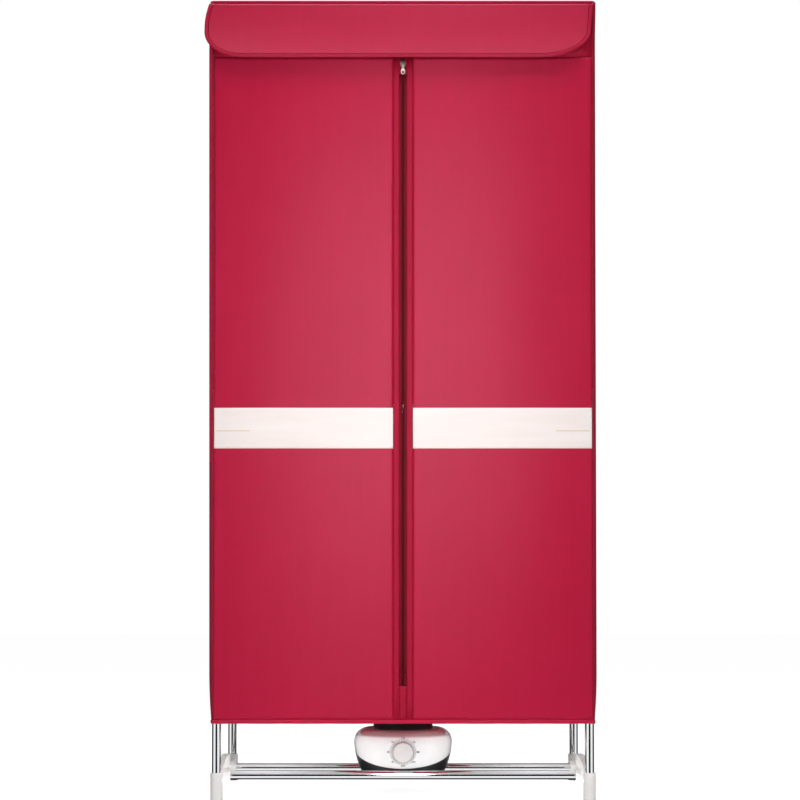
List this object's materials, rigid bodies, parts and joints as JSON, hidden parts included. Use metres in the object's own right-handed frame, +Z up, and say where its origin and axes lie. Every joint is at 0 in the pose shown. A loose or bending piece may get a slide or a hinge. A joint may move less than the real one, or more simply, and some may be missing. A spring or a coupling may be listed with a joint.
{
  "type": "portable clothes dryer",
  "caption": "Free-standing clothes dryer: tubular rack in a zipped cloth cover with a valance, and a warm-air unit with a timer knob below",
  "frame": {"origin": "on the floor, under the middle of the whole part's box", "axes": "+X to the right seen from the front, -Y to the front, +Z up"},
  "size_m": [0.692, 0.4678, 1.423],
  "materials": {
    "chrome_tube": "bright plated",
    "white_plastic": "satin moulded",
    "silver_plastic": "pearl silver paint",
    "pale_plastic": "satin",
    "dark_plastic": "satin moulded",
    "black_plastic": "moulded",
    "crimson_cloth": "satin coated cloth",
    "crimson_trim": "bound edge",
    "zip_tape": "woven tape",
    "white_cloth": "printed band",
    "zinc": "plated",
    "steel": "plain",
    "heater_fins": "pressed fins",
    "heat_board": "heat-proof board",
    "motor_can": "painted",
    "fan_plastic": "moulded",
    "timer_plastic": "moulded",
    "grey_rubber": "matt",
    "black_rubber": "matt"
  },
  "bodies": {
    "rack": {"base_bar_front": "chrome_tube", "base_bar_rear": "chrome_tube", "base_bracket_left": "white_plastic", "base_bracket_right": "white_plastic", "case_screws": "steel", "cord_bush": "black_rubber", "cover_back": "crimson_cloth", "cover_floor": "crimson_cloth", "cover_hem": "crimson_trim", "cover_left": "crimson_cloth", "cover_right": "crimson_cloth", "cover_roof": "crimson_cloth", "fan_motor": "motor_can", "foot_pads": "grey_rubber", "front_foot": "crimson_cloth", "front_header": "crimson_cloth", "heater_element": "heater_fins", "heater_frame": "heat_board", "host_base": "dark_plastic", "host_shell": "silver_plastic", "intake_grille": "black_plastic", "lower_upright_front_left": "chrome_tube", "lower_upright_front_right": "chrome_tube", "lower_upright_rear_left": "chrome_tube", "lower_upright_rear_right": "chrome_tube", "mid_bracket_left": "white_plastic", "mid_bracket_right": "white_plastic", "mid_rod_front": "chrome_tube", "mid_rod_rear": "chrome_tube", "motor_plate": "steel", "outlet_collar": "black_plastic", "roof_piping": "crimson_trim", "thermal_cutout": "timer_plastic", "timer": "timer_plastic", "top_bracket_left": "white_plastic", "top_bracket_right": "white_plastic", "top_rod_centre": "chrome_tube", "top_rod_front": "chrome_tube", "top_rod_rear": "chrome_tube", "upper_upright_front_left": "chrome_tube", "upper_upright_front_right": "chrome_tube", "upper_upright_rear_left": "chrome_tube", "upper_upright_rear_right": "chrome_tube"},
    "knob": {"timer_knob": "pale_plastic", "timer_shaft": "steel"},
    "fan": {"fan_impeller": "fan_plastic", "fan_shaft": "steel"},
    "slider": {"zip_slider": "zinc"},
    "puller": {"zip_puller": "zinc"},
    "left_door": {"door_left": "crimson_cloth", "placket_left": "crimson_cloth", "zip_tape_left": "zip_tape", "white_band_left": "white_cloth"},
    "right_door": {"door_right": "crimson_cloth", "placket_right": "crimson_cloth", "zip_tape_right": "zip_tape", "white_band_right": "white_cloth"},
    "valance": {"valance": "crimson_cloth", "valance_binding": "crimson_trim"}
  },
  "joints": [
    {"name": "timer_turn", "type": "hinge", "parent": "rack", "child": "knob", "pos_m": [0, -0.0925, 0.0765], "axis": [0, 1, 0], "range_deg": [0, 315]},
    {"name": "fan_spin", "type": "hinge", "parent": "rack", "child": "fan", "pos_m": [0, 0.00205, 0.07], "axis": [0, 0, 1], "continuous": true},
    {"name": "zip_slide", "type": "slide", "parent": "rack", "child": "slider", "axis": [0, 0, -1], "range_m": [0, 1.099]},
    {"name": "puller_swing", "type": "hinge", "parent": "slider", "child": "puller", "pos_m": [0, -0.2322, 1.3052], "axis": [-1, 0, 0], "range_deg": [0, 120]},
    {"name": "left_door_swing", "type": "hinge", "parent": "rack", "child": "left_door", "pos_m": [-0.336, -0.22845, 0.73], "axis": [0, 0, -1], "range_deg": [0, 110]},
    {"name": "right_door_swing", "type": "hinge", "parent": "rack", "child": "right_door", "pos_m": [0.336, -0.22845, 0.73], "axis": [0, 0, 1], "range_deg": [0, 110]},
    {"name": "valance_lift", "type": "hinge", "parent": "rack", "child": "valance", "pos_m": [0, -0.23025, 1.417], "axis": [-1, 0, 0], "range_deg": [0, 110]}
  ]
}
